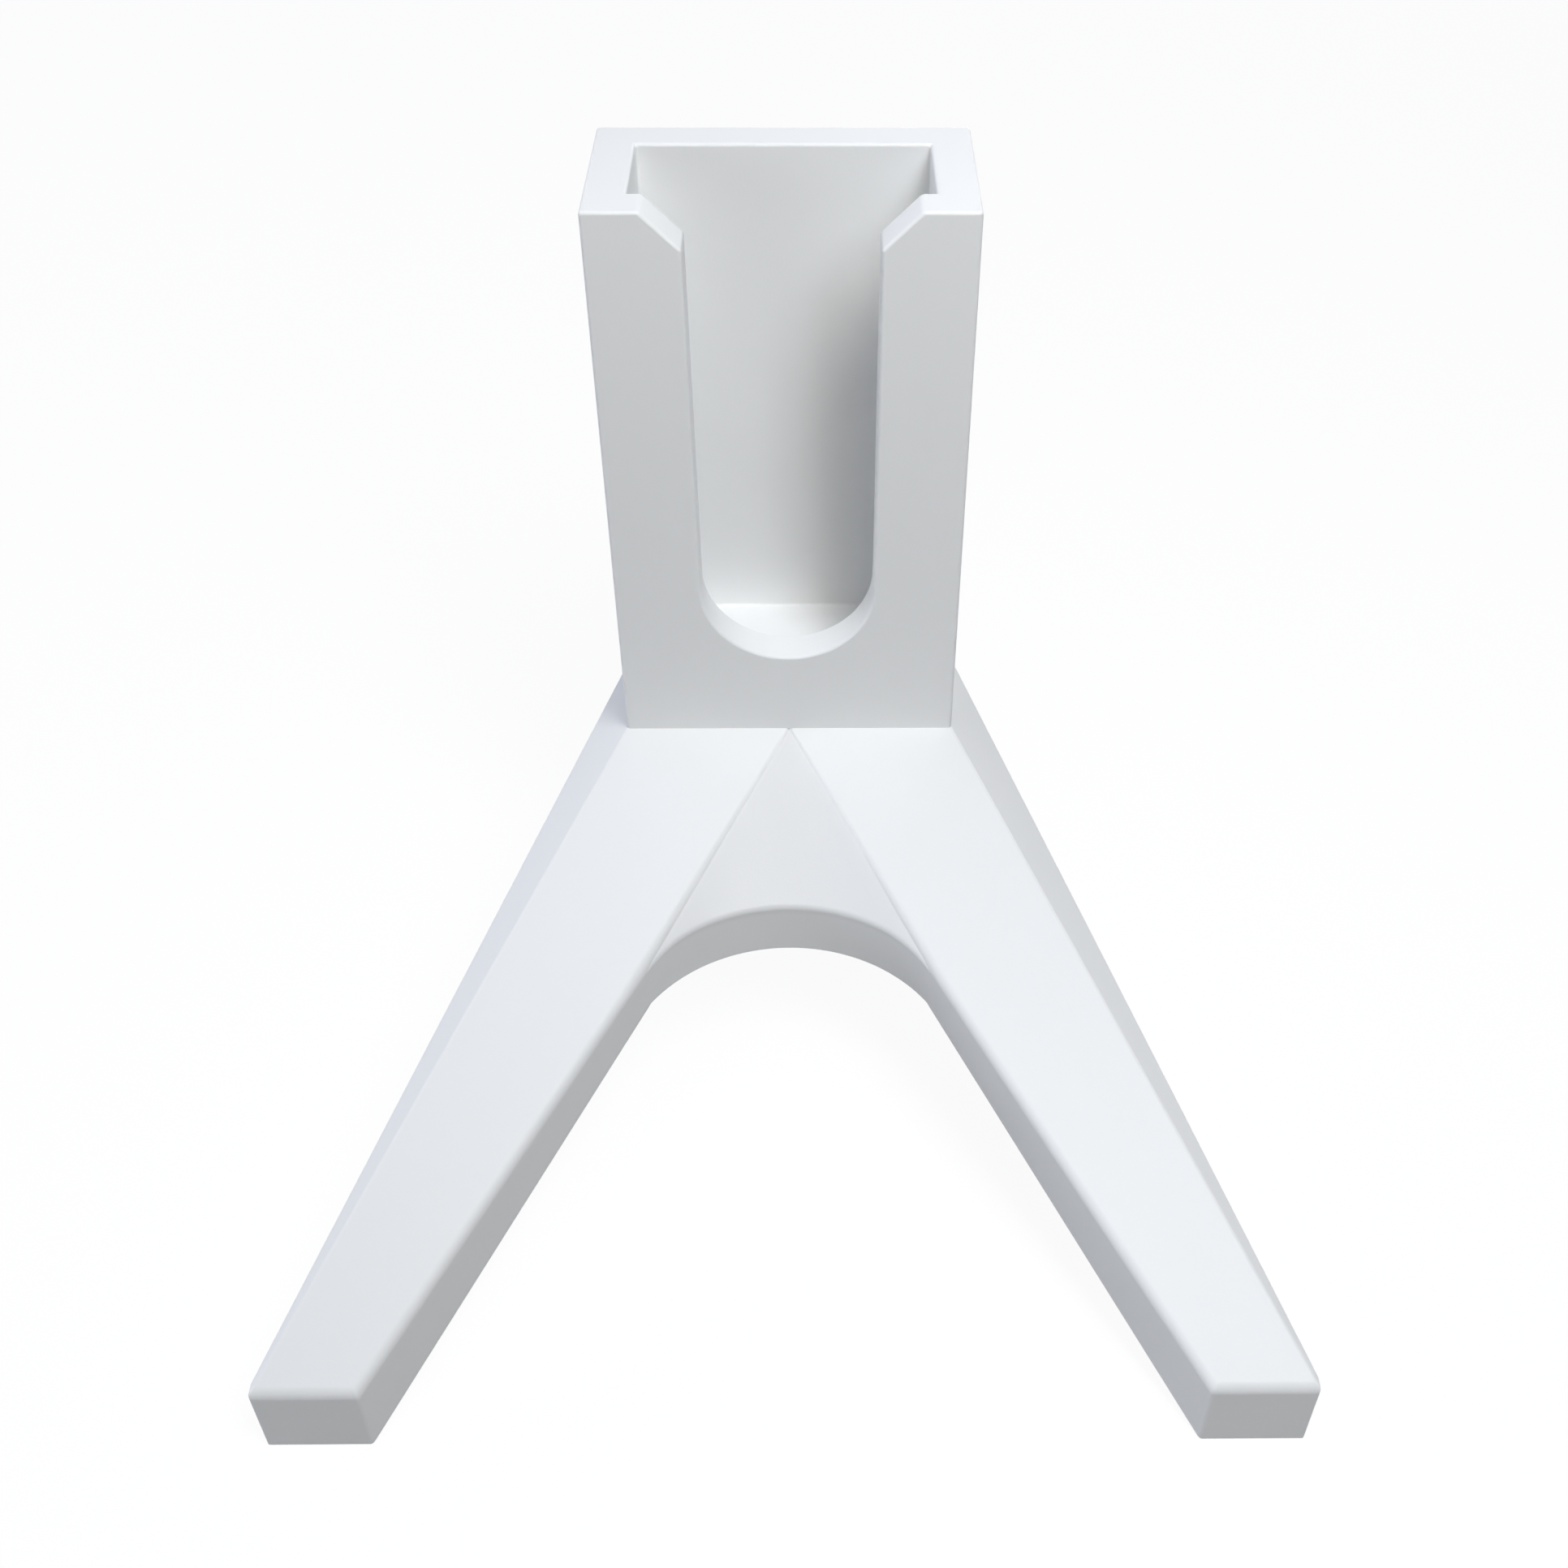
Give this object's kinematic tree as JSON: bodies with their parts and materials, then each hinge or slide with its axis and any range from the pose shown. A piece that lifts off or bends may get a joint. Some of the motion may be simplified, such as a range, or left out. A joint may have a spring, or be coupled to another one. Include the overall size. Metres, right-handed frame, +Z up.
{
  "type": "portable bicycle kickstand",
  "caption": "White plastic bicycle prop: an open-fronted upright socket for a crank arm, on splayed legs joined by an arched web.",
  "frame": {"origin": "on the floor, in the middle of the footprint's bounding box, on the plane of symmetry", "axes": "+Z up along the socket, feet towards -Y, the socket's open front faces -Y, +X to the right of someone facing the back wall"},
  "size_m": [0.1508, 0.1254, 0.144],
  "materials": {
    "white_plastic": "smooth satin, plain white"
  },
  "bodies": {
    "root": {"crank_socket": "white_plastic", "left_leg": "white_plastic", "right_leg": "white_plastic", "crotch_web": "white_plastic"}
  },
  "joints": []
}
